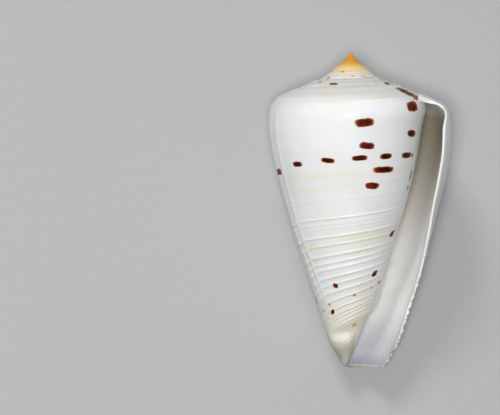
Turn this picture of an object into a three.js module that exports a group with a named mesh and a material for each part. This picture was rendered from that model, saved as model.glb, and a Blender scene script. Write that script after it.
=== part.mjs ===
// Cone shell, a dextral sea snail shell, as one closed solid. Units are mm.
// The shell is grown by a spiral rule: every row of the surface winds down from the apex and
// widens as it goes. It lies on its back with the opening facing up, spire toward +Y.
import * as THREE from "three";

// Size of the whole shell.
const SHELL_LENGTH = 50.0;
const COLUMELLA_TIP_DEPTH = 49.6;
const LIP_CORNER_DEPTH = 49.85;

// Growth. Angles are in degrees along the coil: 0 and 360 face right, 90 faces the viewer.
const SUTURE_RADIUS_AT_LIP = 11.17;
const SUTURE_GROWTH_PER_TURN = 1.64;
const ROW_GROWTH_PER_TURN = 1.332;
const CORE_SHRINK_PER_TURN = 2.4;
const SEAM_ANGLE = 24;
const COIL_END = SEAM_ANGLE + 360;
const EMBRYONIC_RADIUS = 0.42;
const STEP = 6;

// Spire outline: depth below the apex against suture radius, a concave curve with a deeper waist.
const SPIRE_TIP_DEPTH = 0.16;
const SPIRE_CURVE_RADIUS = 15.95;
const SPIRE_WAIST = 0.38;
const SPIRE_WAIST_RADIUS = 4.2;
const SPIRE_WAIST_SPREAD = 1.9;

// Wall thickness at the sharp lip edge, of the last turn, and of the hidden inner partition.
const LIP_EDGE_THICKNESS = 0.42;
const LIP_TOP_THICKNESS = 0.7;
const BASE_THINNING = 0.55;
const WALL_THICKNESS = 1.25;
const PARTITION_THICKNESS = 1.0;
const WALL_THICKENING_ANGLE = 26;

// How far the hollow runs back from the lip, by depth: the blind end as a coil angle.
const BLIND_END_UPPER = -60;
const BLIND_END_LOWER = 236;
const INSIDE_FINE_UNTIL = 270;

// Sideways shift of the coil centre toward the columella near the base.
const CENTRE_SHIFT = -1.12;
const CENTRE_SHIFT_FROM = 35.0;
const CENTRE_SHIFT_TO = 47.0;

// Outline stations, [depth below apex, distance from the axis].
const LIP_SIDE = [
  [6.58, 10.75], [6.9, 12.25], [7.5, 13.69], [8.13, 14.69], [8.77, 15.36], [10.05, 15.95],
  [12.3, 16.22], [14.83, 16.08], [18.66, 15.39], [23.45, 14.15], [29.2, 12.73], [34.93, 11.15],
  [40.67, 9.35], [44.5, 8.1], [47.4, 6.9], [48.35, 6.35], [49.3, 5.6], [50.0, 4.9],
];
const FAR_SIDE = [
  [5.66, 8.4], [6.22, 10.14], [6.86, 11.34], [7.5, 12.01], [8.77, 12.84], [10.05, 13.09],
  [11.6, 13.14], [14.8, 12.79], [18.66, 11.93], [23.45, 10.59], [29.2, 8.95], [34.93, 6.95],
  [40.67, 4.95], [44.5, 3.7], [46.0, 3.2], [47.0, 2.3], [48.0, 1.6], [49.3, 1.25], [50.0, 1.2],
];
const PARIETAL_SIDE = [
  [4.8, 6.55], [6.58, 10.75], [7.4, 11.6], [8.9, 11.95], [10.2, 11.62], [11.2, 11.4],
  [17.5, 10.34], [23.45, 8.95], [30.3, 6.87], [36.5, 5.15], [40.3, 4.1], [42.7, 2.45],
  [45.0, 1.55], [47.2, 0.64], [49.3, -0.6], [50.0, -0.85],
];
// Lip edge: how far round past the right-hand side it comes, [depth, degrees].
const LIP_EDGE = [
  [6.5, 24], [8.0, 19], [12.0, 29], [18.0, 28], [27.0, 23], [33.5, 16], [41.0, 5], [46.0, 0],
  [50.0, -5],
];
// Spiral ribs of the lower half: row position (depth on the lip side), height, half width.
const RIBS = [
  [28.7, 0.03, 0.25], [32.2, 0.1, 0.3], [35.8, 0.12, 0.35], [37.2, 0.1, 0.4], [39.3, 0.13, 0.45],
  [40.7, 0.13, 0.42], [41.95, 0.13, 0.42], [43.3, 0.14, 0.45], [44.9, 0.14, 0.45],
  [46.1, 0.14, 0.45], [47.65, 0.14, 0.45], [49.2, 0.14, 0.5], [50.4, 0.13, 0.4], [51.8, 0.13, 0.4],
  [52.9, 0.12, 0.35], [54.8, 0.11, 0.45], [56.2, 0.1, 0.4],
];
// Raised margin of each whorl beside the suture, as fractions of the strip and of the radius.
const STRIP_FRACTIONS = [0, 0.14, 0.55, 1];
const STRIP_BULGE = [0, 0.034, 0.026, 0];
const ROWS_TOP = [6.5, 7.1, 7.9, 8.76, 9.9];
const ROWS_BODY = [12, 15.5, 20, 25.5, 31.6];
const ROWS_INSIDE = [7.43, 8.1, 9.0, 10.4, 13.5, 18, 24, 30, 35, 39.5, 43.5, 47, 80];
// Lengthwise growth scar on the left of the front: two low lines.
const SCAR_HEIGHT = 0.1;
const SCAR_ANGLES = [156, 168];

// The back is a little flattened where the shell rests, and fuller beside it. Fractions of radius.
const BACK_FLAT = 0.016;
const BACK_FLAT_ANGLE = 266;
const BACK_BULGE = 0.019;
const BACK_BULGE_ANGLE = 216;
const BACK_SPREAD = 24;

// Near the base the coil widens later on its way round, and its edge is cut back on the far side.
const BASE_DELAY = 1.6;
const BASE_DELAY_FROM = 42;
const BASE_DELAY_TO = 49.5;
const BASE_CUT = 0.75;
const BASE_CUT_ANGLE = 232;
const BASE_CUT_SPREAD = 30;

// Rest pose on the floor. The hidden underside is cut flat by a third of a mm, so it lies still.
const ROLL = -11.5;
const PITCH = 14.45;
const REST_FLAT_DEPTH = 0.35;
const REST_SEARCH_FROM = 230;
const REST_SEARCH_TO = 300;
const REST_ROWS_FROM = 8;
const REST_ROWS_TO = 50;

const rad = (deg) => (deg * Math.PI) / 180;
const clamp = (x, lo, hi) => Math.min(hi, Math.max(lo, x));
const mix = (a, b, t) => a + (b - a) * t;

function smooth(x, lo, hi) {
  const t = clamp((x - lo) / (hi - lo), 0, 1);
  return t * t * (3 - 2 * t);
}

// Monotone cubic curve through stations, straight beyond the ends.
function curve(points) {
  const n = points.length;
  const slope = [];
  for (let i = 0; i < n - 1; i++) {
    slope.push((points[i + 1][1] - points[i][1]) / (points[i + 1][0] - points[i][0]));
  }
  const tangent = [slope[0]];
  for (let i = 1; i < n - 1; i++) {
    const a = slope[i - 1];
    const b = slope[i];
    tangent.push(a * b <= 0 ? 0 : (2 * a * b) / (a + b));
  }
  tangent.push(slope[n - 2]);
  return (x) => {
    if (x <= points[0][0]) return points[0][1] + tangent[0] * (x - points[0][0]);
    if (x >= points[n - 1][0]) return points[n - 1][1] + tangent[n - 1] * (x - points[n - 1][0]);
    let i = 0;
    while (x > points[i + 1][0]) i++;
    const h = points[i + 1][0] - points[i][0];
    const t = (x - points[i][0]) / h;
    const t2 = t * t;
    const t3 = t2 * t;
    return (
      (2 * t3 - 3 * t2 + 1) * points[i][1] +
      (t3 - 2 * t2 + t) * h * tangent[i] +
      (-2 * t3 + 3 * t2) * points[i + 1][1] +
      (t3 - t2) * h * tangent[i + 1]
    );
  };
}

const lipSide = curve(LIP_SIDE);
const farSide = curve(FAR_SIDE);
const parietalSide = curve(PARIETAL_SIDE);
const lipAngle = curve(LIP_EDGE);

const rowScale = (angle) => ROW_GROWTH_PER_TURN ** ((angle - 360) / 360);
const sutureRadius = (a) => SUTURE_RADIUS_AT_LIP * SUTURE_GROWTH_PER_TURN ** ((a - COIL_END) / 360);
const spireWaist = (r) => SPIRE_WAIST * Math.exp(-(((r - SPIRE_WAIST_RADIUS) / SPIRE_WAIST_SPREAD) ** 2));
const spireDepth = (r) => SPIRE_TIP_DEPTH + r / (1 + r / SPIRE_CURVE_RADIUS) + spireWaist(r);
const lipEdgeAngle = (row) => 360 + lipAngle(Math.min(row * rowScale(365), SHELL_LENGTH));
const centreShift = (d) => CENTRE_SHIFT * smooth(d, CENTRE_SHIFT_FROM, CENTRE_SHIFT_TO);

function baseDepth(angle) {
  const cut = BASE_CUT * Math.exp(-(((angle - BASE_CUT_ANGLE) / BASE_CUT_SPREAD) ** 2));
  const full = mix(COLUMELLA_TIP_DEPTH, SHELL_LENGTH, smooth(angle, 180, 300));
  return full + (LIP_CORNER_DEPTH - SHELL_LENGTH) * smooth(angle, 300, 370) - cut;
}

function ribHeight(row) {
  let h = 0;
  for (const [at, height, half] of RIBS) h += height * Math.exp(-(((row - at) / half) ** 2));
  return h;
}

// Radius about the shifted centre, on a row, at a coil angle of the last turn or just before it.
function coilRadius(angle, row) {
  const at = (side, sign, a) => {
    const d = Math.min(row * rowScale(a), baseDepth(a));
    return Math.max(side(d) - sign * centreShift(d), 0.3);
  };
  const r0 = at(parietalSide, 1, 0);
  const r1 = at(farSide, -1, 180);
  const r2 = at(lipSide, 1, 360);
  if (angle < 0) return r0 * CORE_SHRINK_PER_TURN ** (angle / 360);
  const round = (angle - 180) / 180;
  const late = BASE_DELAY * smooth(row * rowScale(angle), BASE_DELAY_FROM, BASE_DELAY_TO);
  const x = round > 0 ? round ** (1 + late) : round;
  const w = 0.25;
  const bend = (v) => (Math.sqrt(v * v + w * w) - w) / 2;
  const r = r1 + ((r2 - r0) / 2) * x + ((r2 + r0 - 2 * r1) * bend(x)) / (2 * bend(1));
  const bulge = BACK_BULGE * Math.exp(-(((angle - BACK_BULGE_ANGLE) / BACK_SPREAD) ** 2));
  const flat = BACK_FLAT * Math.exp(-(((angle - BACK_FLAT_ANGLE) / BACK_SPREAD) ** 2));
  return r * (1 + bulge - flat);
}

// How far the surface reaches toward the floor in the rest pose, before the flat is cut.
const DOWN = [
  Math.cos(rad(PITCH)) * Math.sin(rad(ROLL)),
  -Math.sin(rad(PITCH)),
  -Math.cos(rad(PITCH)) * Math.cos(rad(ROLL)),
];
const acrossDown = (angle) => DOWN[0] * Math.cos(rad(angle)) + DOWN[2] * Math.sin(rad(angle));
const alongDown = (d) => DOWN[0] * centreShift(d) - DOWN[1] * d;
let lowest = 0;
for (let angle = REST_SEARCH_FROM; angle <= REST_SEARCH_TO; angle++) {
  for (let row = REST_ROWS_FROM; row <= REST_ROWS_TO; row += 0.25) {
    const reach = coilRadius(angle, row) * acrossDown(angle) + alongDown(row * rowScale(angle));
    lowest = Math.max(lowest, reach);
  }
}

// Largest radius that stays above the rest plane.
function floorRadius(angle, d) {
  const across = acrossDown(angle);
  return across > 0.5 ? (lowest - REST_FLAT_DEPTH - alongDown(d)) / across : Infinity;
}

// Point of the outer surface in the profile plane: [radius, depth].
function outer(angle, row) {
  const d = Math.min(row * rowScale(angle), baseDepth(angle));
  let r = coilRadius(angle, row);
  const ribs = smooth(angle, SEAM_ANGLE, SEAM_ANGLE + 16) * smooth(baseDepth(angle) - d, 0, 0.8);
  r += ribHeight(row) * ribs;
  const scar = SCAR_ANGLES.reduce((s, a) => s + Math.exp(-(((angle - a) / 3) ** 2)), 0);
  r += SCAR_HEIGHT * scar * smooth(d, 8, 12) * (1 - smooth(d, 36, 42));
  return [Math.min(r, floorRadius(angle, d)), d];
}

// Spire strip between a suture and the next one, as row k of STRIP_FRACTIONS.
function strip(angle, k) {
  const r0 = sutureRadius(angle);
  const r = mix(r0, sutureRadius(angle + 360), STRIP_FRACTIONS[k]);
  return [r, spireDepth(r) - STRIP_BULGE[k] * r0];
}

function topRow(angle, k) {
  const a = strip(angle, k);
  if (k === 0) return a;
  const t = smooth(angle, SEAM_ANGLE, SEAM_ANGLE + 80);
  const b = outer(angle, ROWS_TOP[k]);
  if (k === 1) {
    b[0] = sutureRadius(angle) + 0.055 * sutureRadius(angle);
    b[1] = a[1] + 0.02;
  }
  return [mix(a[0], b[0], t), mix(a[1], b[1], t)];
}

const positions = [];
const faces = [];

function addPoint(angle, r, d) {
  const x = r * Math.cos(rad(angle)) + centreShift(d);
  const z = r * Math.sin(rad(angle));
  positions.push([x, -d, z]);
  return positions.length - 1;
}

function addFace(a, b, c) {
  if (a !== b && b !== c && c !== a) faces.push([a, c, b]);
}

// Triangles between two chains of points; flip turns the faces over.
function zip(chainA, chainB, flip) {
  let i = 0;
  let j = 0;
  const dist = (p, q) => Math.hypot(...[0, 1, 2].map((k) => positions[p][k] - positions[q][k]));
  while (i < chainA.length - 1 || j < chainB.length - 1) {
    const canA = i < chainA.length - 1;
    const canB = j < chainB.length - 1;
    const costA = canA ? dist(chainA[i + 1], chainB[j]) : Infinity;
    const costB = canB ? dist(chainA[i], chainB[j + 1]) : Infinity;
    if (costA <= costB) {
      if (flip) addFace(chainA[i + 1], chainA[i], chainB[j]);
      else addFace(chainA[i], chainA[i + 1], chainB[j]);
      i++;
    } else {
      if (flip) addFace(chainB[j], chainB[j + 1], chainA[i]);
      else addFace(chainB[j + 1], chainB[j], chainA[i]);
      j++;
    }
  }
}

function sheet(columns, flip) {
  for (let i = 0; i < columns.length - 1; i++) {
    const a = columns[i];
    const b = columns[i + 1];
    for (let k = 0; k < a.length - 1; k++) {
      if (flip) {
        addFace(a[k], b[k], a[k + 1]);
        addFace(b[k], b[k + 1], a[k + 1]);
      } else {
        addFace(a[k], b[k + 1], b[k]);
        addFace(a[k], a[k + 1], b[k + 1]);
      }
    }
  }
}

// Rows of the last turn: top rows, smooth body rows, then crest and valley rows of the ribs.
function bodyRows() {
  const rows = [...ROWS_BODY];
  const crests = RIBS.map((rib) => rib[0]).filter((c) => c > 30);
  crests.forEach((c, i) => {
    rows.push(c);
    const next = crests[i + 1] ?? c + 3;
    if (next - c > 2.6) rows.push(c + 0.7, next - 0.7);
    else rows.push((c + next) / 2);
  });
  rows.push(60, 80);
  return rows;
}
const BODY = bodyRows();
const TOP = ROWS_TOP.length;

// Outer surface of the last turn, seam to lip. Clamped rows share the point at the base edge.
function outerColumn(angleOf, sharedTop) {
  const column = [];
  for (let k = 0; k < TOP; k++) {
    if (sharedTop && sharedTop[k] !== undefined) {
      column.push(sharedTop[k]);
      continue;
    }
    const angle = angleOf(ROWS_TOP[k]);
    const [r, d] = k < TOP - 1 ? topRow(angle, k) : outer(angle, ROWS_TOP[k]);
    column.push(addPoint(angle, r, d));
  }
  let bottom = -1;
  for (const row of BODY) {
    const angle = angleOf(row);
    if (bottom >= 0) {
      column.push(bottom);
      continue;
    }
    const [r, d] = outer(angle, row);
    const id = addPoint(angle, r, d);
    column.push(id);
    if (row * rowScale(angle) >= baseDepth(angle)) bottom = id;
  }
  return column;
}

// Spire strips, from the embryonic whorl to the seam. suture[k] holds the shared suture points.
const sutureIds = new Map();
function sutureId(angle) {
  const key = Math.round(angle / STEP);
  if (!sutureIds.has(key)) {
    const r = sutureRadius(angle);
    sutureIds.set(key, addPoint(angle, r, spireDepth(r)));
  }
  return sutureIds.get(key);
}
const widening = Math.log(SUTURE_RADIUS_AT_LIP / EMBRYONIC_RADIUS);
const turnsOfSpire = widening / Math.log(SUTURE_GROWTH_PER_TURN);
const firstAngle = COIL_END - Math.round((turnsOfSpire * 360) / STEP) * STEP;
const spireColumns = [];
for (let a = firstAngle; a <= SEAM_ANGLE; a += STEP) {
  const column = [sutureId(a)];
  for (let k = 1; k < STRIP_FRACTIONS.length - 1; k++) {
    const [r, d] = strip(a, k);
    column.push(addPoint(a, r, d));
  }
  column.push(sutureId(a + 360));
  spireColumns.push(column);
}
sheet(spireColumns, false);

// Apex cap: a fan over the first turn of the suture, and the short step where the coil begins.
const apex = addPoint(0, 0, 0);
for (let a = firstAngle; a < firstAngle + 360; a += STEP) {
  addFace(sutureId(a), sutureId(a + STEP), apex);
}
const firstColumn = spireColumns[0];
for (let k = 0; k < firstColumn.length - 1; k++) addFace(firstColumn[k], apex, firstColumn[k + 1]);

// Last turn.
const outerColumns = [];
const seamColumn = outerColumn(() => SEAM_ANGLE, spireColumns[spireColumns.length - 1]);
outerColumns.push(seamColumn);
const LIP_BLEND_FROM = COIL_END - 60;
for (let a = SEAM_ANGLE + STEP; a <= COIL_END; a += STEP) {
  const reach = (a - LIP_BLEND_FROM) / (COIL_END - LIP_BLEND_FROM);
  const angleOf = (row) => (reach <= 0 ? a : mix(LIP_BLEND_FROM, lipEdgeAngle(row), reach));
  outerColumns.push(outerColumn(angleOf, [sutureId(a)]));
}
sheet(outerColumns, false);

// Hollow: the core wall on one side and the inner face of the last turn on the other.
const insideRows = ROWS_INSIDE.length;
const blindEnd = (row) => mix(BLIND_END_UPPER, BLIND_END_LOWER, smooth(row, 26, 46));
const shares = [];
for (let a = COIL_END; a > BLIND_END_UPPER; a -= a > INSIDE_FINE_UNTIL ? STEP : 2 * STEP) {
  shares.push((COIL_END - a) / (COIL_END - BLIND_END_UPPER));
}
shares.push(1);

function innerFace(angle, row, sinceLip) {
  const wall = mix(PARTITION_THICKNESS, WALL_THICKNESS, smooth(angle, -10, 60));
  const edge = mix(LIP_TOP_THICKNESS, LIP_EDGE_THICKNESS, smooth(row, 8, 12));
  const thinning = mix(1, BASE_THINNING, smooth(row * rowScale(angle), 44, SHELL_LENGTH));
  const t = mix(edge, wall * thinning, smooth(sinceLip, 0, WALL_THICKENING_ANGLE));
  const a = outer(angle, row - 0.05);
  const b = outer(angle, row + 0.05);
  const c = [coilRadius(angle, row), Math.min(row * rowScale(angle), baseDepth(angle))];
  let nr = b[1] - a[1];
  let nd = -(b[0] - a[0]);
  if (nr < 1e-4) return [c[0] - t, c[1]];
  const scale = Math.hypot(nr, nd);
  nr /= scale;
  nd /= scale;
  const flat = smooth(row, 30, 40);
  return [c[0] - t * mix(nr, 1, flat), Math.min(c[1] - t * mix(nd, 0, flat), baseDepth(angle))];
}

const coreColumns = [];
const innerColumns = [];
for (const share of shares) {
  const fill = Math.sqrt(Math.max(0, 1 - share ** 5));
  const core = [];
  const inner = [];
  for (let k = 0; k < insideRows; k++) {
    const row = ROWS_INSIDE[k];
    const end = k === 0 ? BLIND_END_UPPER : blindEnd(row);
    const coreAngle = mix(SEAM_ANGLE, end - 360, share);
    const coreRow = row * ROW_GROWTH_PER_TURN;
    const coreDepth = Math.min(coreRow * rowScale(coreAngle), baseDepth(coreAngle + 360));
    const coreR = coilRadius(coreAngle, coreRow);
    let coreId;
    if (k === 0 && share === 0) coreId = seamColumn[TOP - 1];
    else coreId = addPoint(coreAngle, coreR, coreDepth);
    core.push(coreId);
    if (k === 0 || share === 1) {
      inner.push(coreId);
      continue;
    }
    const edge = lipEdgeAngle(row);
    const angle = mix(edge, end, share);
    const [r, d] = innerFace(angle, row, edge - angle);
    const wallCore = coilRadius(angle - 360, coreRow);
    const gap = Math.max(r - wallCore, 0.12) * fill;
    inner.push(addPoint(angle, wallCore + gap, mix(coreDepth, d, fill)));
  }
  coreColumns.push(core);
  innerColumns.push(inner);
}
zip(seamColumn.slice(TOP - 1), coreColumns[1], true);
sheet(coreColumns.slice(1), true);
sheet(innerColumns, false);

// Lip edge between the outer and inner faces.
const lipOuter = outerColumns[outerColumns.length - 1];
zip(lipOuter, [...seamColumn.slice(TOP - 2, TOP), ...innerColumns[0].slice(1)], false);

// Base: the edge of the free sheet, then the tip of the columella.
const bottomOf = (column) => column[column.length - 1];
const blindBase = blindEnd(ROWS_INSIDE[insideRows - 1]);
const firstFree = Math.floor((blindBase - SEAM_ANGLE) / STEP);
const freeOuter = outerColumns.slice(firstFree).map(bottomOf);
const freeInner = innerColumns.map(bottomOf).reverse();
zip(freeOuter, freeInner, true);
const coreLoop = [...coreColumns.slice(1).map(bottomOf).reverse()];
coreLoop.push(...outerColumns.slice(0, firstFree + 1).map(bottomOf));
const tip = addPoint(0, 0, COLUMELLA_TIP_DEPTH + 0.05);
for (let i = 0; i < coreLoop.length; i++) {
  addFace(coreLoop[(i + 1) % coreLoop.length], coreLoop[i], tip);
}

const geometry = new THREE.BufferGeometry();
geometry.setAttribute("position", new THREE.Float32BufferAttribute(positions.flat(), 3));
geometry.setIndex(faces.flat());
geometry.computeVertexNormals();

const porcelain = new THREE.MeshStandardMaterial({ color: 0xe8e8e6, roughness: 0.35, metalness: 0 });
const shell = new THREE.Mesh(geometry, porcelain);
shell.name = "shell";
shell.rotation.set(rad(PITCH), rad(ROLL), 0);

// The shell rests on the floor, with the middle of its bounding box over the origin.
const coneShell = new THREE.Group();
coneShell.add(shell);
const box = new THREE.Box3().setFromObject(coneShell, true);
const middle = box.getCenter(new THREE.Vector3());
shell.position.set(-middle.x, -middle.y, -box.min.z);
export default coneShell;
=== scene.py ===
"""Looks of a cone shell. The whole shell is one mesh grown by the spiral rule of the CAD solid.

Lengths of the shell are in mm in its own frame: x toward the outer lip, y up the axis, z to the viewer.
Angles run along the coil in degrees: 0 and 360 face right, 90 faces the viewer.
"""

import math

import bmesh
import bpy
import numpy as np
from mathutils import Matrix, Vector


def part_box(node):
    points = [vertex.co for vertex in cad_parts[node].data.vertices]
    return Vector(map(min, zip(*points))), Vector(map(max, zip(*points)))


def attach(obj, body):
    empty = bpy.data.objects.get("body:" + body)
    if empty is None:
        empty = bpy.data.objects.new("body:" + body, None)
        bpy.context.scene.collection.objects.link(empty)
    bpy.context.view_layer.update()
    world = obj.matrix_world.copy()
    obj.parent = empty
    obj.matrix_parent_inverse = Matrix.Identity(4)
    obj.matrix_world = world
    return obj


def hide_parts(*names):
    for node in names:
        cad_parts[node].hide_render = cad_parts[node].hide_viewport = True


MM = 0.001

# Size and growth, as in the solid.
SHELL_LENGTH = 50.0
COLUMELLA_TIP_DEPTH = 49.6
LIP_CORNER_DEPTH = 49.85
SUTURE_RADIUS_AT_LIP = 11.17
SUTURE_GROWTH_PER_TURN = 1.64
ROW_GROWTH_PER_TURN = 1.332
CORE_SHRINK_PER_TURN = 2.4
SEAM_ANGLE = 24.0
COIL_END = SEAM_ANGLE + 360.0
EMBRYONIC_RADIUS = 0.42
SPIRE_TIP_DEPTH = 0.16
SPIRE_CURVE_RADIUS = 15.95
SPIRE_WAIST, SPIRE_WAIST_RADIUS, SPIRE_WAIST_SPREAD = 0.38, 4.2, 1.9
CENTRE_SHIFT = -1.12
CENTRE_SHIFT_FROM = 35.0
CENTRE_SHIFT_TO = 47.0
BACK_FLAT, BACK_FLAT_ANGLE = 0.016, 266.0
BACK_BULGE, BACK_BULGE_ANGLE = 0.019, 216.0
BACK_SPREAD = 24.0
BASE_DELAY, BASE_DELAY_FROM, BASE_DELAY_TO = 1.6, 42.0, 49.5
BASE_CUT, BASE_CUT_ANGLE, BASE_CUT_SPREAD = 0.75, 232.0, 30.0
BASE_DROP_ANGLES, LIP_CORNER_ANGLES = (180, 300), (300, 370)
LEAST_RADIUS = 0.3
LEAST_EDGE_RADIUS = 1.0
LEAST_LENGTH, LEAST_SLOPE = 1e-9, 1e-4
BEND_ROUNDING = 0.25
LEAST_COSINE = 0.5
# The free edge at the base hangs a little lower toward the lip, and is finely broken.
RIM_DROP, RIM_DROP_ANGLES = 0.38, (255.0, 310.0)
RIM_RAGGED, RIM_WAVES = 0.035, (23, 41, 67)
ROLL = -11.5
PITCH = 14.45
REST_FLAT_DEPTH = 0.35
REST_SEARCH_ANGLES = (230, 300)
REST_SEARCH_ROWS = (8, 50, 0.25)

# Wall thickness.
LIP_EDGE_THICKNESS = 0.42
LIP_TOP_THICKNESS = 0.32
WALL_THICKNESS = 1.25
PARTITION_THICKNESS = 1.0
BASE_THINNING = 0.55
WALL_THICKENING_ANGLE = 26.0
BLIND_END_UPPER = -60.0
BLIND_END_LOWER = 236.0
BLIND_END_ROWS = (26, 46)
BLIND_END_POWER = 5
LEAST_GAP = 0.12
WALL_ANGLES = (-10, 60)
THINNING_DEPTHS = (44, SHELL_LENGTH)
LEVEL_ROWS = (30, 40)
LIP_TOP_ROWS = (8, 12)
LIP_START_ROWS, LIP_START_SHARE = (6.5, 7.4), 0.15
# Rounding of the lip edge, in wall thicknesses: how far inward and how far forward.
LIP_ROUNDING = ((0.18, 0.26), (0.55, 0.36))
LIP_BLEND_FROM = COIL_END - 60.0

# Outline stations, (depth below the apex, distance from the axis).
LIP_SIDE = [
    (6.58, 10.75), (6.9, 12.25), (7.5, 13.69), (8.13, 14.69), (8.77, 15.36), (10.05, 15.95),
    (12.3, 16.22), (14.83, 16.08), (18.66, 15.39), (23.45, 14.15), (29.2, 12.73), (34.93, 11.15),
    (40.67, 9.35), (44.5, 8.1), (47.4, 6.9), (48.35, 6.35), (49.3, 5.6), (50.0, 4.9),
]
FAR_SIDE = [
    (5.66, 8.4), (6.22, 10.14), (6.86, 11.34), (7.5, 12.01), (8.77, 12.84), (10.05, 13.09),
    (11.6, 13.14), (14.8, 12.79), (18.66, 11.93), (23.45, 10.59), (29.2, 8.95), (34.93, 6.95),
    (40.67, 4.95), (44.5, 3.7), (46.0, 3.2), (47.0, 2.3), (48.0, 1.6), (49.3, 1.25), (50.0, 1.2),
]
PARIETAL_SIDE = [
    (4.8, 6.55), (6.58, 10.75), (7.4, 11.6), (8.9, 11.95), (10.2, 11.62), (11.2, 11.4),
    (17.5, 10.34), (23.45, 8.95), (30.3, 6.87), (36.5, 5.15), (40.3, 4.1), (42.7, 2.45),
    (45.0, 1.55), (47.2, 0.64), (49.3, -0.6), (50.0, -0.85),
]
# The lip's free edge: depth, degrees past a full turn.
LIP_EDGE = [
    (6.5, 24), (8.0, 19), (12.0, 29), (18.0, 28), (27.0, 23), (33.5, 16), (41.0, 6), (46.0, 4),
    (50.0, 3),
]
LIP_SCALE_ANGLE = 365

# Left side of the base as it shows from the front, and the angles over which the front meets it.
BASE_SIDE = [
    (44.0, 3.8), (45.8, 3.32), (47.05, 2.8), (47.7, 2.32), (48.35, 1.78), (49.0, 1.3), (50.0, 1.2),
]
BASE_FILL_ANGLES = (30.0, 70.0, 215.0, 240.0)
BASE_FILL_DEPTHS = (44.0, 46.0)
BASE_FILL_ROUNDING = 0.02

# Spiral ribs: row position, height, half width.
RIBS = [
    (28.1, 0.03, 0.25), (31.5, 0.1, 0.3), (32.6, 0.03, 0.25), (33.4, 0.03, 0.25), (35.0, 0.12, 0.35),
    (36.6, 0.1, 0.38), (38.6, 0.13, 0.42), (40.0, 0.12, 0.4), (41.2, 0.12, 0.4), (42.8, 0.14, 0.42),
    (44.2, 0.11, 0.4), (45.7, 0.13, 0.42), (47.3, 0.12, 0.42), (49.1, 0.11, 0.38), (50.3, 0.09, 0.34),
    (51.1, 0.06, 0.3), (52.0, 0.09, 0.3), (52.9, 0.08, 0.3), (53.9, 0.07, 0.3), (54.9, 0.07, 0.3),
    (55.9, 0.06, 0.3), (56.9, 0.05, 0.3), (57.8, 0.05, 0.3),
]
RIB_NARROWING = 0.6
GROOVE_SHARE = 0.3
# Ribs fade out toward the smooth edge of the opening, and where the base gets very thin.
RIB_FADE_MM = (0.5, 2.2)
RIB_FADE_DEPTHS = (41.0, 46.0)
RIB_FADE_RADIUS = (0.7, 2.4)
RIB_FADE_AT_BASE = (0, 0.8)
THREAD_HEIGHT = 0.025
THREAD_PITCH = 0.66
THREAD_ROWS = (47, 53)
SCAR_HEIGHT = 0.1
SCAR_ANGLES = (156.0, 168.0)
SCAR_WIDTH = 2.2
SCAR_START_DEPTHS, SCAR_END_DEPTHS = (8, 12), (36, 42)
SCAR_RIB_SLIP, SLIP_RAMP, SLIP_FADE = 0.4, 3, 60
SCAR_LEAN, SCAR_LEAN_DEPTHS = 10.0, (22.0, 40.0)
# Chips of the lip edge: depth, degrees broken out, half width. Between them the edge is ragged.
LIP_CHIPS = [(43.7, 3.0, 0.35), (47.9, 4.0, 0.3), (45.9, 1.5, 0.2), (40.9, 1.5, 0.25), (36.6, 1.0, 0.3)]
INNER_CHIP_SHARE = 0.9
RAGGED_SEED = 7
RAGGED_DEGREES = 1.3
RAGGED_SMOOTHING = (0.25, 0.5, 0.25)
RAGGED_DEPTHS = (34, 42)

# Rows at the top of the last turn and the strip fractions that they continue.
TOP_ROWS = np.array([6.5, 7.1, 7.9, 8.76])
STRIP_FRACTIONS = np.array([0, 0.14, 0.55, 1])
STRIP_BULGE = np.array([0, 0.034, 0.026, 0])
# How far the spire strip carries on past its outer edge where it rounds over into the body.
SHOULDER_ROOM = 0.12
# On the body the strip fraction goes on past 1, by this much per row.
FRACTION_PER_ROW = 0.5
SHOULDER_ROW, SHOULDER_NEXT_ROW = 9.9, 12.0
SHOULDER_START_ROWS = (6.5, 6.8)
SHOULDER_BLEND_ANGLE = 80
MARGIN_GROWTH, MARGIN_DROP = 1.055, 0.02
# Low cords and a fine wave beside the suture, both as shares of the suture's radius.
CORD_COUNT = 4
CORD_HEIGHT = 0.007
CORD_START = (0.1, 0.3)
WAVE_COUNT, WAVE_HEIGHT = 31, 0.003
WAVE_START, WAVE_END = (0, 0.05), (0.1, 0.5)
STRIP_END = (0.9, 1)
# The inner glaze thins out over this many degrees at the opening's left edge.
GLAZE_DEGREES = 14.0

# Mesh fineness. Stretches of rows are first, last and count.
STEP = 1.5
SPIRE_ROWS = 14
SPIRE_CROWDING = 1.15
SPIRE_ROW_SPAN = 2
CAP_RINGS, CAP_POWER = (0.8, 0.6, 0.4, 0.2), 1.6
OUTER_ROWS = [(6.5, SHOULDER_ROW, 24), (SHOULDER_ROW, 28, 30), (28, 58.5, 225), (58.5, 66, 8)]
ROOF_ROW = 7.43
INSIDE_ROWS = [(7.8, 12, 12), (13, 47, 30), (48, 66, 8)]
BELOW_BASE_ROW = 80
INSIDE_STEPS_CHANGE = 300
INSIDE_FINE_STEP, INSIDE_COARSE_STEP = 2.0, 6.0
PROBE = 0.05
COLUMELLA_ROUNDING = 0.05
SHARP_EDGE = 60

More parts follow.
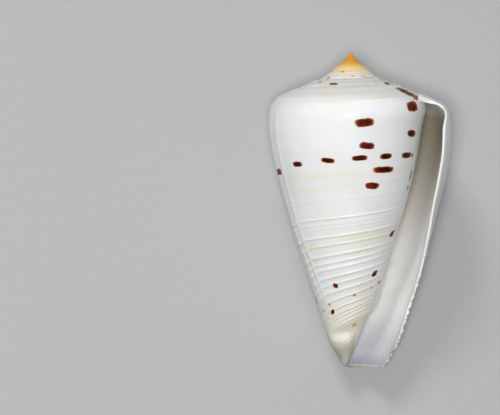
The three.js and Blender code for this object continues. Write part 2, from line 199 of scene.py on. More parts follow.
# Spots on the body: coil angle, depth, half width, half height, tilt, tone (1 dark, 0 pale orange).
BODY_SPOTS = [
    (80, 10.7, 1.36, 0.62, 0.08, 1), (77.5, 14.3, 1.1, 0.5, -0.06, 1), (83, 16.2, 1.14, 0.38, 0.08, 1),
    (60.5, 16.0, 0.98, 0.43, 0.02, 1), (61.5, 18.1, 1.7, 0.48, 0, 1), (71, 20.6, 1.0, 0.5, -0.04, 1),
    (108, 16.6, 1.02, 0.37, -0.1, 1), (135.5, 17.3, 0.9, 0.38, 0.05, 1), (166, 18.8, 1.2, 0.46, 0.1, 1),
    (36.5, 8.35, 1.3, 0.74, 0, 1), (34, 12.6, 1.15, 0.5, -0.1, 1), (37, 16.0, 1.25, 0.43, 0, 1),
    (27, 16.1, 0.3, 0.3, 0, 1), (21, 19.3, 0.3, 0.8, 0, 0.7), (21, 21.3, 0.3, 0.3, 0, 0.7),
    (31.5, 28.5, 0.6, 0.42, 0.3, 0.8), (48.5, 34.8, 0.5, 0.4, 0.7, 0.8), (115.5, 36.7, 0.37, 0.36, 0, 0.9),
    (80, 38.2, 0.28, 0.2, 0, 0.3), (46, 37.1, 0.22, 0.17, 0, 0.4), (135.5, 39.9, 0.26, 0.22, 0, 0.35),
    (163, 41.1, 0.22, 0.18, 0, 0.3), (129, 41.1, 0.44, 0.27, 1.0, 0.75), (29, 36.4, 0.3, 0.24, 0.5, 0.8),
    (58, 43.2, 0.4, 0.24, 0.4, 0.3), (188, 39.6, 0.75, 0.36, -0.5, 0.9),
    (220, 8.6, 1.4, 0.36, -0.12, 1), (205, 10.7, 0.75, 0.46, 0, 1), (262, 19.7, 0.9, 0.46, 0, 1),
    (254, 19.9, 0.7, 0.25, 0, 0.2), (220, 19.4, 0.75, 0.46, 0, 1), (204, 19.3, 0.4, 0.2, 0, 0.5),
    (203, 21.7, 1.0, 0.38, -0.1, 1), (282, 20.1, 0.7, 0.32, 0, 0.15), (266, 42.8, 0.32, 0.24, 0, 0.3),
    (234, 43.0, 0.42, 0.32, 0, 0.55), (305, 45.8, 0.3, 0.24, 0, 0.4), (326, 47.2, 0.45, 0.32, 0, 1),
    (344, 47.5, 0.5, 0.24, 0, 0.5),
]
# Marks on the spire: coil direction, radius, half width, half height, tone.
SPIRE_MARKS = [
    (114, 6.7, 0.66, 0.26, 0.75), (28, 6.6, 0.7, 0.5, 0.8), (29, 10.1, 1.2, 1.5, 1),
    (115, 3.15, 0.26, 0.2, 0.35), (142, 4.5, 0.4, 0.3, 0.4), (143, 6.1, 0.45, 0.28, 0.35),
    (85, 4.0, 0.35, 0.1, 0.3), (61, 4.0, 0.5, 0.1, 0.3), (355, 3.9, 0.4, 0.3, 0.45),
    (23, 5.3, 0.4, 0.32, 0.45), (290, 7.9, 1.5, 0.24, 0.95),
    (296, 7.1, 0.9, 0.22, 0.8), (304, 5.3, 0.4, 0.22, 0.6), (296, 3.0, 0.3, 0.18, 0.3),
    (322, 4.6, 0.3, 0.2, 0.35), (236, 5.2, 0.4, 0.2, 0.4), (217, 9.0, 0.8, 0.24, 0.8),
    (228, 9.9, 0.9, 0.2, 1), (334, 10.0, 0.8, 0.18, 0.6), (258, 3.4, 0.3, 0.2, 0.3),
]

# Camera: where the photograph has the shell, in its own 500 x 415 frame, and a long lens.
PHOTO_WIDTH_PX, PHOTO_HEIGHT_PX = 500, 415
PHOTO_AXIS_X_PX = 350.7
PHOTO_APEX_Y_PX, PHOTO_BASE_Y_PX = 53.0, 366.5
VIEW_TILT = 4.0
LENS_MM = 180.0
SENSOR_MM = 36.0


# Colours, as display values.
def colour(red, green, blue):
    """Display values 0 to 255 as a linear colour."""
    values = [v / 255 for v in (red, green, blue)]
    linear = [v / 12.92 if v <= 0.04 else ((v + 0.055) / 1.055) ** 2.4 for v in values]
    return (*linear, 1.0)


# The attribute "arc" holds the coil angle, the depth, and the degrees within the opening. These two
# factors turn its angles into lengths.
ARC_MM_PER_DEGREE = 0.22
DEEP_PER_DEGREE = 0.03
NOT_ON_SPIRE = 9.0

# Body.
WHITE = colour(238, 239, 241)
WARM_WHITE = colour(234, 234, 230)
BAND_YELLOW = colour(232, 228, 190)
BASE_CREAM = colour(220, 218, 198)
# Grey toward the columella tip: partly the shell's own greyer tint, partly painted shade where the base turns
# away from the light.
BASE_GREY_AND_SHADE = colour(168, 168, 154)
# Yellow bands: row, half width, strength.
YELLOW_BANDS = [(23.4, 1.5, 0.5), (25.6, 0.9, 0.4), (36.0, 1.6, 0.75), (39.0, 1.2, 0.4)]

# Spire. Its lines: place between one suture and the next, half width, colour, strength.
TIP_CREAM = colour(242, 216, 160)
TIP_PALE = colour(238, 196, 118)
TIP_ORANGE = colour(218, 152, 46)
SPIRE_YELLOW = colour(222, 208, 130)
SUTURE_GREY = colour(120, 104, 84)
CORD_GREY = colour(176, 174, 170)
SPIRE_LINES = [
    (0.17, 0.05, CORD_GREY, 0.55), (0.4, 0.05, CORD_GREY, 0.5), (0.62, 0.05, CORD_GREY, 0.5),
    (0.5, 0.07, SPIRE_YELLOW, 0.6), (0.88, 0.09, SPIRE_YELLOW, 0.75),
    (1.0, 0.035, CORD_GREY, 0.6), (0.0, 0.05, SUTURE_GREY, 0.8),
]
LINE_CORE = 0.4

# Spots. The brown line beside the opening's smooth edge is a mark too.
RIM_BROWN = colour(172, 88, 26)
RED_BROWN = colour(122, 38, 8)
SPOT_BROWN = colour(50, 5, 0)
PALE_ORANGE = colour(214, 128, 12)
EDGE_BROWN = colour(172, 146, 96)
EDGE_LINE = ((38 * ARC_MM_PER_DEGREE, 46.4, 0), 0.0, (0.8, 1.9, 1))
DARK_TONE = 0.7
SPIRE_MARK_REACH = 2
NO_MARK = 99.0

# Inside.
INNER_WHITE = colour(244, 244, 244)
INNER_CREAM = colour(240, 239, 234)
# Painted shade, olive-grey, deep in the upper hollow where the light hardly reaches.
INNER_OLIVE_SHADE = colour(174, 165, 142)
INNER_GREY = colour(196, 197, 200)
# Painted shade that greys the top of the lip's edge and inner face, where the light from above falls
# brightest.
LIP_TOP_SHADE_GREY = colour(212, 211, 207)
RIM_SHADE = colour(150, 152, 162)
RIM_CREAM = colour(206, 196, 178)

# Ramps: from, to and, where they aren't 0 and 1, the strengths at both ends.
CLOUD_RAMP = (0.35, 0.7)
STREAK_RAMP = (0.3, 0.66)
CREAM_ROW_RAMP = (42.0, 54.0, 0.0, 0.8)
# Depths over which the tip's grey comes in, partly painted shade.
BASE_SHADE_DEPTH_RAMP = (45.0, 48.0, 0.0, 0.9)
BROKEN_RAMP = (0.42, 0.6)
SEAM_RAMP = ((SEAM_ANGLE + 20) * ARC_MM_PER_DEGREE, SEAM_ANGLE * ARC_MM_PER_DEGREE, 0.15, 1.0)
TIP_CREAM_RAMP = (3.5, 2.9, 0.0, 0.85)
TIP_EDGE_RAMP, TIP_FULL_RAMP, TIP_ORANGE_RAMP = (3.2, 2.0), (2.9, 1.9), (2.4, 1.2)
SPECKLE_RAMP = (0.4, 0.62)
PALE_RAMP = (1.25, 0.6, 0.0, 0.95)
RIM_RAMP = (1.2, 1.0, 0.0, 0.95)
RED_RAMP, CORE_RAMP = (1.04, 0.82), (0.96, 0.5)
CORE_PATCH_RAMP = (0.34, 0.56, 0.25, 1.0)
EDGE_LINE_RAMP = (1.6, 0.2, 0.0, 0.6)
INNER_RAMP = (0.3, 0.7)
# Painted shade in the upper hollow: how far within the opening it starts, and the depths it spans.
DEEP_SHADE_RAMP = (8 * DEEP_PER_DEGREE, 45 * DEEP_PER_DEGREE)
OLIVE_SHADE_LOWER_RAMP, OLIVE_SHADE_UPPER_RAMP = (34.0, 11.0), (7.8, 10.8)
# The second ramp brings in the painted shade at the lip's top.
INNER_GREY_RAMP, LIP_TOP_SHADE_RAMP = (40.0, 48.0), (7.9, 7.2)
BEHIND_RAMP = (368 * ARC_MM_PER_DEGREE, 345 * ARC_MM_PER_DEGREE)
RIM_SHADE_RAMP, RIM_CREAM_RAMP = (47.8, 50.0, 0.0, 0.8), (50.02, 50.16, 0.0, 0.9)
ROUGHNESS_RAMP = (0.0, 1.0, 0.36, 0.26)

# Noise: scale, detail and roughness, with how far it shifts or stretches.
CLOUD_NOISE, BROKEN_NOISE, CORE_NOISE, INNER_NOISE = (0.16, 3.0), (0.9, 3.0), (0.45, 2.0), (0.3, 3.0)
STREAK_NOISE, STREAK_STRETCH = (0.55, 2.0, 0.5), (0.35, 1.2, 0.3)
TIP_NOISE, TIP_SHIFT = (1.6, 4.0), 1.6
SPECKLE_NOISE = (2.2, 3.0, 0.7)
SPOT_NOISE, SPOT_SHIFT = (1.3, 1.0, 0.5), 0.5
GROWTH_NOISE, GROWTH_STRETCH, GROWTH_SHARE = (1.0, 5.0, 0.65), (4.0, 0.12, 0.3), 0.6
THREAD_NOISE, THREAD_STRETCH, THREAD_SHARE = (1.0, 3.0, 0.6), (3.0, 0.05, 0.4), 0.4
BUMP_STRENGTH, BUMP_DISTANCE = 0.25, 0.00006
SPECULAR = 0.16
SUBSURFACE, SUBSURFACE_RADIUS = 0.05, (0.0012, 0.0010, 0.0008)

# Studio. Lights: right, up and back of the shell's middle in m, size, power, tint.
FLOOR_DARKER, FLOOR_PALER = colour(176, 177, 178), colour(180, 181, 182)
FLOOR_NOISE, FLOOR_ROUGHNESS, FLOOR_HALF = 900.0, 0.8, 1.2
LIGHTS = {
    "key": (-0.16, 0.6, 0.5, 0.22, 2.3, (1.0, 0.985, 0.96)),
    "front": (-0.02, -0.03, 0.76, 0.16, 4.0, (1, 1, 1)),
    "fill": (0.5, -0.15, 0.6, 0.35, 0.2, (0.95, 0.98, 1.0)),
}
SKY_COLOUR, SKY_STRENGTH = (0.9, 0.93, 0.95, 1), 0.15


def smooth(x, lo, hi):
    t = np.clip((np.asarray(x, float) - lo) / (hi - lo), 0, 1)
    return t * t * (3 - 2 * t)


def mix(a, b, t):
    return a + (b - a) * t


def hermite(t, length, start, end, slope_start, slope_end):
    y = (2 * t**3 - 3 * t**2 + 1) * start + (t**3 - 2 * t**2 + t) * length * slope_start
    return y + (3 * t**2 - 2 * t**3) * end + (t**3 - t**2) * length * slope_end


def curve(points):
    """Monotone cubic curve through stations, straight beyond the ends."""
    xs, ys = np.array(points, float).T
    step = np.diff(xs)
    slope = np.diff(ys) / step
    a, b = slope[:-1], slope[1:]
    middle = [2 * p * q / (p + q) if p * q > 0 else 0.0 for p, q in zip(a, b)]
    tangent = np.array([slope[0], *middle, slope[-1]])

    def at(x):
        x = np.asarray(x, float)
        i = np.clip(np.searchsorted(xs, x) - 1, 0, len(step) - 1)
        t = np.clip((x - xs[i]) / step[i], 0, 1)
        y = hermite(t, step[i], ys[i], ys[i + 1], tangent[i], tangent[i + 1])
        y = y + np.where(x < xs[0], tangent[0] * (x - xs[0]), 0)
        return y + np.where(x > xs[-1], tangent[-1] * (x - xs[-1]), 0)

    return at


lip_side, far_side, parietal_side = curve(LIP_SIDE), curve(FAR_SIDE), curve(PARIETAL_SIDE)
lip_edge_curve, base_side = curve(LIP_EDGE), curve(BASE_SIDE)
strip_bulge = curve(list(zip(STRIP_FRACTIONS, STRIP_BULGE)))
strip_fraction = curve(list(zip(TOP_ROWS, STRIP_FRACTIONS)))


def row_scale(angle):
    return ROW_GROWTH_PER_TURN ** ((np.asarray(angle, float) - 360) / 360)


def suture_radius(angle):
    turns = (np.asarray(angle, float) - COIL_END) / 360
    return SUTURE_RADIUS_AT_LIP * SUTURE_GROWTH_PER_TURN**turns


def spire_depth(r):
    waist = SPIRE_WAIST * np.exp(-(((r - SPIRE_WAIST_RADIUS) / SPIRE_WAIST_SPREAD) ** 2))
    return SPIRE_TIP_DEPTH + r / (1 + r / SPIRE_CURVE_RADIUS) + waist


def centre_shift(d):
    return CENTRE_SHIFT * smooth(d, CENTRE_SHIFT_FROM, CENTRE_SHIFT_TO)


def base_depth(angle):
    angle = np.asarray(angle, float)
    cut = BASE_CUT * np.exp(-(((angle - BASE_CUT_ANGLE) / BASE_CUT_SPREAD) ** 2))
    d = mix(COLUMELLA_TIP_DEPTH, SHELL_LENGTH, smooth(angle, *BASE_DROP_ANGLES)) - cut
    return d + (LIP_CORNER_DEPTH - SHELL_LENGTH) * smooth(angle, *LIP_CORNER_ANGLES)


def rim_depth(angle):
    """Depth of the last turn's free edge at the base."""
    along = np.radians(np.asarray(angle, float))
    ragged = RIM_RAGGED * sum(np.sin(waves * along + waves) for waves in RIM_WAVES)
    return base_depth(angle) + (RIM_DROP + ragged) * smooth(angle, *RIM_DROP_ANGLES)


def lip_edge_angle(row):
    return 360 + lip_edge_curve(np.minimum(np.asarray(row, float) * row_scale(LIP_SCALE_ANGLE), SHELL_LENGTH))


def coil_radius(angle, row):
    """Radius about the shifted centre, on a row, at a coil angle of the last turn or just before it."""
    angle, row = np.broadcast_arrays(np.asarray(angle, float), np.asarray(row, float))

    def at(side, sign, a):
        d = np.minimum(row * row_scale(a), base_depth(a))
        return np.maximum(side(d) - sign * centre_shift(d), LEAST_RADIUS)

    def bend(v):
        return (np.sqrt(v * v + BEND_ROUNDING**2) - BEND_ROUNDING) / 2

    r0, r1, r2 = at(parietal_side, 1, 0), at(far_side, -1, 180), at(lip_side, 1, 360)
    x = (angle - 180) / 180
    delay = 1 + BASE_DELAY * smooth(row * row_scale(angle), BASE_DELAY_FROM, BASE_DELAY_TO)
    x = np.where(x > 0, np.abs(x) ** delay, x)
    r = r1 + (r2 - r0) / 2 * x + (r2 + r0 - 2 * r1) * bend(x) / (2 * bend(1.0))
    bulge = BACK_BULGE * np.exp(-(((angle - BACK_BULGE_ANGLE) / BACK_SPREAD) ** 2))
    flat = BACK_FLAT * np.exp(-(((angle - BACK_FLAT_ANGLE) / BACK_SPREAD) ** 2))
    hidden = r0 * CORE_SHRINK_PER_TURN ** (np.minimum(angle, 0) / 360)
    return np.where(angle < 0, hidden, r * (1 + bulge - flat))


def down_direction():
    """Toward the floor, in the shell's own frame."""
    roll, pitch = math.radians(ROLL), math.radians(PITCH)
    return math.cos(pitch) * math.sin(roll), -math.sin(pitch), -math.cos(pitch) * math.cos(roll)


def across_down(angle):
    down = down_direction()
    return down[0] * np.cos(np.radians(angle)) + down[2] * np.sin(np.radians(angle))


def along_down(d):
    down = down_direction()
    return down[0] * centre_shift(d) - down[1] * d


def lowest_reach():
    angle, row = np.meshgrid(np.arange(*REST_SEARCH_ANGLES), np.arange(*REST_SEARCH_ROWS))
    reach = coil_radius(angle, row) * across_down(angle) + along_down(row * row_scale(angle))
    return float(reach.max())


def floor_radius(angle, d):
    """Largest radius that stays above the plane that the shell rests on."""
    across = across_down(angle)
    room = LOWEST_REACH - REST_FLAT_DEPTH - along_down(d)
    return np.where(across > LEAST_COSINE, room / np.maximum(across, LEAST_COSINE), np.inf)


LOWEST_REACH = lowest_reach()


def rib_height(row):
    """Narrow crests, each with a faint groove below it, and fine threads near the base."""
    h = THREAD_HEIGHT * np.sin(2 * math.pi * row / THREAD_PITCH) * smooth(row, *THREAD_ROWS)
    for at, height, half in RIBS:
        crest = np.exp(-(((row - at) / (half * RIB_NARROWING)) ** 2))
        groove = np.exp(-(((row - at - half) / (half * RIB_NARROWING)) ** 2))
        h = h + height * (crest - GROOVE_SHARE * groove)
    return h


def base_fill(angle, r, d):
    """Rounds the front of the base over to its left side, without a groove beside the tip."""
    front = np.maximum(parietal_side(d) - centre_shift(d), LEAST_RADIUS)
    side = np.maximum(base_side(d) + centre_shift(d), LEAST_RADIUS)
    behind = side / np.maximum(-np.cos(np.radians(angle)), LEAST_COSINE)
    more = np.where(angle < 180, mix(front, side, angle / 180), behind) - r
    start, full, hold, end = BASE_FILL_ANGLES
    weight = smooth(angle, start, full) * (1 - smooth(angle, hold, end)) * smooth(d, *BASE_FILL_DEPTHS)
    return r + weight * (more + np.sqrt(more**2 + BASE_FILL_ROUNDING)) / 2


def outer(angle, row):
    """Point of the outer surface in the profile plane: radius and depth."""
    angle, row = np.broadcast_arrays(np.asarray(angle, float), np.asarray(row, float))
    d = np.minimum(row * row_scale(angle), rim_depth(angle))
    r = base_fill(angle, coil_radius(angle, row), d)
    leaned = angle + SCAR_LEAN * smooth(d, *SCAR_LEAN_DEPTHS)
    scar = sum(np.exp(-(((leaned - a) / SCAR_WIDTH) ** 2)) for a in SCAR_ANGLES)
    scar = scar * smooth(d, *SCAR_START_DEPTHS) * (1 - smooth(d, *SCAR_END_DEPTHS))
    slip = SCAR_RIB_SLIP * smooth(leaned, SCAR_ANGLES[0] - SLIP_RAMP, SCAR_ANGLES[0] + SLIP_RAMP)
    slip = slip * (1 - smooth(leaned, SCAR_ANGLES[1], SCAR_ANGLES[1] + SLIP_FADE))
    from_seam = np.radians(angle - SEAM_ANGLE) * r
    fade = mix(*RIB_FADE_MM, smooth(d, *RIB_FADE_DEPTHS))
    ribs = smooth(from_seam / fade, 0, 1) * smooth(r, *RIB_FADE_RADIUS)
    ribs = ribs * smooth(base_depth(angle) - d, *RIB_FADE_AT_BASE)
    r = r + rib_height(row - slip) * ribs + SCAR_HEIGHT * scar
    return np.minimum(r, floor_radius(angle, d)), d


def strip(angle, f):
    """Spire surface between a suture and the next one, at fraction f of the way out."""
    r0 = suture_radius(angle)
    r = mix(r0, suture_radius(np.asarray(angle, float) + 360), f)
    cords = CORD_HEIGHT * np.sin(2 * math.pi * CORD_COUNT * f) * smooth(f, *CORD_START)
    wave = WAVE_HEIGHT * np.sin(np.radians(angle) * WAVE_COUNT)
    wave = wave * smooth(f, *WAVE_START) * (1 - smooth(f, *WAVE_END))
    return r, spire_depth(r) - (strip_bulge(f) + (cords + wave) * (1 - smooth(f, *STRIP_END))) * r0


def shoulder(angle, row):
    """Top of the last turn: grows out of the spire strip and passes into the body."""
    angle, row = np.broadcast_arrays(np.asarray(angle, float), np.asarray(row, float))
    fraction = strip_fraction(row)
    past = SHOULDER_ROOM * np.tanh((fraction - 1) / SHOULDER_ROOM)
    strip_r, strip_d = strip(angle, np.where(fraction > 1, 1 + past, fraction))
    rs = suture_radius(angle)
    margin_r, margin_d = rs * MARGIN_GROWTH, strip(angle, STRIP_FRACTIONS[1])[1] + MARGIN_DROP
    keys = [*TOP_ROWS, SHOULDER_ROW, SHOULDER_NEXT_ROW]
    rs_keys = [rs, margin_r] + [outer(angle, k)[0] for k in keys[2:]]
    ds_keys = [spire_depth(rs), margin_d] + [outer(angle, k)[1] for k in keys[2:]]

    def through(values):
        out = np.zeros(row.shape)
        for i in range(len(keys) - 2):
            p0, p1, p2, p3 = values[max(i - 1, 0)], values[i], values[i + 1], values[i + 2]
            k0, k1, k2, k3 = keys[max(i - 1, 0)], keys[i], keys[i + 1], keys[i + 2]
            m1 = (p2 - p0) / (k2 - k0)
            m2 = (p3 - p1) / (k3 - k1)
            y = hermite((row - k1) / (k2 - k1), k2 - k1, p1, p2, m1, m2)
            out = np.where((row >= k1) & (row <= k2), y, out)
        return out

    t = smooth(angle, SEAM_ANGLE, SEAM_ANGLE + SHOULDER_BLEND_ANGLE) * smooth(row, *SHOULDER_START_ROWS)
    t = mix(t, 1, smooth(row, TOP_ROWS[3], SHOULDER_ROW))
    return mix(strip_r, through(rs_keys), t), mix(strip_d, through(ds_keys), t)


def surface(angle, row):
    body_r, body_d = outer(angle, row)
    top_r, top_d = shoulder(angle, np.minimum(row, SHOULDER_ROW))
    on_top = np.asarray(row, float) < SHOULDER_ROW
    return np.where(on_top, top_r, body_r), np.where(on_top, top_d, body_d)


class Skin:
    """Points of the shell with their coil coordinates, and triangles or quads between them."""

    def __init__(self):
        self.parts = []
        self.count = 0
        self.faces = []

    def add(self, angle, r, d, row, inside, fraction=NOT_ON_SPIRE, deep=0.0):
        """Adds points and returns their indices in the same array shape.

        Inside is 0 to 1, and deep is how many degrees the point lies within the opening.
        """
        values = (np.asarray(v, float) for v in (angle, r, d, row, inside, fraction, deep))
        angle, r, d, row, inside, fraction, deep = np.broadcast_arrays(*values)
        x = r * np.cos(np.radians(angle)) + centre_shift(d)
        z = r * np.sin(np.radians(angle))
        columns = (x, -d, z, angle, r, d, row, inside, fraction, deep)
        self.parts.append(np.stack([v.ravel() for v in columns], axis=1))
        ids = np.arange(self.count, self.count + x.size).reshape(x.shape)
        self.count += x.size
        return ids

    def table(self):
        return np.concatenate(self.parts)

    def face(self, *corners):
        ring = []
        for c in corners:
            if not ring or ring[-1] != c:
                ring.append(int(c))
        if ring[0] == ring[-1]:
            ring.pop()
        if len(ring) > 2:
            self.faces.append(ring)

    def sheet(self, columns, flip):
        """Quads between neighbouring columns of equal length; repeated points collapse."""
        for a, b in zip(columns[:-1], columns[1:]):
            for k in range(len(a) - 1):
                if a[k] == a[k + 1] and b[k] == b[k + 1]:
                    continue
                if flip:
                    self.face(a[k + 1], b[k + 1], b[k], a[k])
                else:
                    self.face(a[k], b[k], b[k + 1], a[k + 1])

    def zip(self, chain_a, chain_b, flip):
        """Triangles between two chains of points, always along the shorter diagonal."""
        p = self.table()[:, :3]
        i = j = 0
        while i < len(chain_a) - 1 or j < len(chain_b) - 1:
            cost_a = cost_b = math.inf
            if i < len(chain_a) - 1:
                cost_a = np.linalg.norm(p[chain_a[i + 1]] - p[chain_b[j]])
            if j < len(chain_b) - 1:
                cost_b = np.linalg.norm(p[chain_a[i]] - p[chain_b[j + 1]])
            if cost_a <= cost_b:
                tri = (chain_a[i + 1], chain_a[i], chain_b[j])
                i += 1
            else:
                tri = (chain_b[j], chain_b[j + 1], chain_a[i])
                j += 1
            self.face(*(tri[::-1] if flip else tri))


def spire_columns(skin, angles):
    """Columns of the spire strip; the outer edge of one turn is the inner edge of the next."""
    per_turn = round(360 / STEP)
    count = len(angles) + per_turn
    suture_angles = angles[0] + STEP * np.arange(count)
    rs = suture_radius(suture_angles)
    suture = skin.add(suture_angles, rs, spire_depth(rs), TOP_ROWS[0], False, 0.0)
    f = np.linspace(0, 1, SPIRE_ROWS + 1)[1:-1] ** SPIRE_CROWDING
    grid_angle = angles[:, None]
    r, d = strip(grid_angle, f[None, :])
    inner = skin.add(grid_angle, r, d, TOP_ROWS[0] + f[None, :] * SPIRE_ROW_SPAN, False, f[None, :])
    columns = [[suture[i], *inner[i], suture[i + per_turn]] for i in range(len(angles))]
    return columns, suture


def apex_cap(skin, suture, columns):
    """Rounded tip over the first turn, and the short step where the coil begins."""
    per_turn = round(360 / STEP)
    ids = suture[: per_turn + 1]
    table = skin.table()[ids]
    rings = []
    for f in CAP_RINGS:
        rings.append(skin.add(table[:, 3], table[:, 4] * f, table[:, 5] * f**CAP_POWER, TOP_ROWS[0], False))
    tip = int(skin.add(0, 0, 0, TOP_ROWS[0], False))
    levels = [ids, *rings]
    for outer_ring, inner_ring in zip(levels[:-1], levels[1:]):
        for k in range(per_turn):
            skin.face(inner_ring[k], inner_ring[k + 1], outer_ring[k + 1], outer_ring[k])
    for k in range(per_turn):
        skin.face(tip, levels[-1][k + 1], levels[-1][k])
    start = [level[0] for level in reversed(levels)]
    stop = [level[-1] for level in reversed(levels)]
    for k in range(len(levels) - 1):
        skin.face(start[k], stop[k], stop[k + 1], start[k + 1])
    skin.face(tip, stop[0], start[0])
    first = columns[0]
    for k in range(len(first) - 2):
        skin.face(first[0], first[k + 2], first[k + 1])


def outer_rows():
    stretches = [np.linspace(*stretch)[:-1] for stretch in OUTER_ROWS]
    return np.concatenate([*stretches, [OUTER_ROWS[-1][1], BELOW_BASE_ROW]])


def last_turn(skin, suture, seam_top):
    """Outer surface of the last turn from the seam to the lip. Rows below the base share a point."""
    rows = outer_rows()
    per_turn = round(360 / STEP)
    columns = []
    chips = lip_chips(rows)
    for j in range(per_turn + 1):
        a = SEAM_ANGLE + STEP * j
        reach = (a - LIP_BLEND_FROM) / (COIL_END - LIP_BLEND_FROM)
        angle = np.full(len(rows), a)
        if reach > 0:
            angle = mix(LIP_BLEND_FROM, lip_edge_angle(rows) - chips * reach**3, reach)
        r, d = surface(angle, rows)
        below = np.nonzero(rows * row_scale(angle) >= rim_depth(angle))[0]
        last = below[0] if len(below) else len(rows) - 1
        first = 1
        if j == 0:
            first = int(np.argmax(rows >= TOP_ROWS[3])) + 1
        k = slice(first, last + 1)
        past = 1 + FRACTION_PER_ROW * (rows[k] - TOP_ROWS[-1])
        fraction = np.where(rows[k] < TOP_ROWS[-1], strip_fraction(rows[k]), past)
        ids = skin.add(angle[k], r[k], d[k], rows[k], False, fraction)
        if j == 0:
            column = [*seam_top, *ids]
        else:
            column = [suture[-(per_turn + 1) + j], *ids]
        columns.append(column + [column[-1]] * (len(rows) - 1 - last))
    return columns


def lip_chips(rows):
    """Notches broken out of the lip edge near the base, in degrees."""
    rng = np.random.default_rng(RAGGED_SEED)
    d = rows * row_scale(LIP_SCALE_ANGLE)
    chips = np.zeros(len(rows))
    for at, depth, half in LIP_CHIPS:
        chips += depth * np.exp(-(((d - at) / half) ** 2))
    ragged = np.convolve(rng.normal(size=len(rows)), RAGGED_SMOOTHING, mode="same")
    return chips + RAGGED_DEGREES * ragged * smooth(d, *RAGGED_DEPTHS)


def inner_face(angle, row, since_lip):
    """Point of the inner face, one wall thickness in from the outer one: radius and depth."""
    wall = mix(PARTITION_THICKNESS, WALL_THICKNESS, smooth(angle, *WALL_ANGLES))
    edge = mix(LIP_TOP_THICKNESS, LIP_EDGE_THICKNESS, smooth(row, *LIP_TOP_ROWS))
    thinning = mix(1, BASE_THINNING, smooth(row * row_scale(angle), *THINNING_DEPTHS))
    t = mix(edge, wall * thinning, smooth(since_lip, 0, WALL_THICKENING_ANGLE))
    base = rim_depth(angle)

    def depth_at(some_row):
        return np.minimum(some_row * row_scale(angle), base)

    slope_r = coil_radius(angle, row + PROBE) - coil_radius(angle, row - PROBE)
    slope_d = depth_at(row + PROBE) - depth_at(row - PROBE)
    length = np.maximum(np.hypot(slope_r, slope_d), LEAST_LENGTH)
    level = np.where(slope_d < LEAST_SLOPE, 1, smooth(row, *LEVEL_ROWS))
    nr, nd = mix(slope_d / length, 1, level), mix(-slope_r / length, 0, level)
    return coil_radius(angle, row) - t * nr, np.minimum(depth_at(row) - t * nd, base)


def inside_rows():
    return np.concatenate([[ROOF_ROW], *(np.linspace(*stretch) for stretch in INSIDE_ROWS), [BELOW_BASE_ROW]])


def hollow(skin, seam_roof):
    """Core wall and inner face of the last turn. They share the roof and the blind end."""
    rows = inside_rows()
    fine = np.arange(COIL_END, INSIDE_STEPS_CHANGE, -INSIDE_FINE_STEP)
    coarse = np.arange(INSIDE_STEPS_CHANGE, BLIND_END_UPPER, -INSIDE_COARSE_STEP)
    angles = np.concatenate([fine, coarse])
    shares = np.append((COIL_END - angles) / (COIL_END - BLIND_END_UPPER), 1.0)
    end = mix(BLIND_END_UPPER, BLIND_END_LOWER, smooth(rows, *BLIND_END_ROWS))
    end[0] = BLIND_END_UPPER
    core_columns, inner_columns = [], []
    for share in shares:
        fill = math.sqrt(max(0.0, 1 - share**BLIND_END_POWER))
        core_angle = mix(SEAM_ANGLE, end - 360, share)
        core_row = rows * ROW_GROWTH_PER_TURN
        core_d = np.minimum(core_row * row_scale(core_angle), base_depth(core_angle + 360))
        core_r = coil_radius(core_angle, core_row)
        if share == 0:
            rest = skin.add(core_angle[1:], core_r[1:], core_d[1:], core_row[1:], 0)
            core = np.array([seam_roof, *rest])
        else:
            within = SEAM_ANGLE - core_angle
            glaze = smooth(within, 0, GLAZE_DEGREES)
            core = skin.add(core_angle, core_r, core_d, core_row, glaze, deep=within)
        core_columns.append(core)
        if share == 1:
            inner_columns.append(core)
            continue
        chips = lip_chips(rows) * INNER_CHIP_SHARE * (share == 0)
        angle = mix(lip_edge_angle(rows) - chips, end, share)
        within = lip_edge_angle(rows) - angle
        r, d = inner_face(angle, rows, within)
        wall_core = coil_radius(angle - 360, core_row)
        gap = np.maximum(r - wall_core, LEAST_GAP) * fill
        inner = skin.add(angle, wall_core + gap, mix(core_d, d, fill), rows, 1, deep=within)
        inner[0] = core[0]
        inner_columns.append(inner)
    return core_columns, inner_columns


def lip_edge(skin, outer_lip, rows):
    """Two rounded chains that carry the outer lip edge over toward the inner face."""
    table = skin.table()[outer_lip]
    chains = []
    t = mix(LIP_TOP_THICKNESS, LIP_EDGE_THICKNESS, smooth(rows, *LIP_TOP_ROWS))
    t = t * mix(LIP_START_SHARE, 1, smooth(rows, *LIP_START_ROWS))
    for inward, forward in LIP_ROUNDING:
        r = table[:, 4] - inward * t
        angle = table[:, 3] + np.degrees(forward * t / np.maximum(r, LEAST_EDGE_RADIUS))
        ids = skin.add(angle[1:], r[1:], table[1:, 5], table[1:, 6], True)
        chain = [outer_lip[0], *ids]
        for k in range(1, len(chain)):
            if outer_lip[k] == outer_lip[k - 1]:
                chain[k] = chain[k - 1]
        chains.append(chain)
    return chains


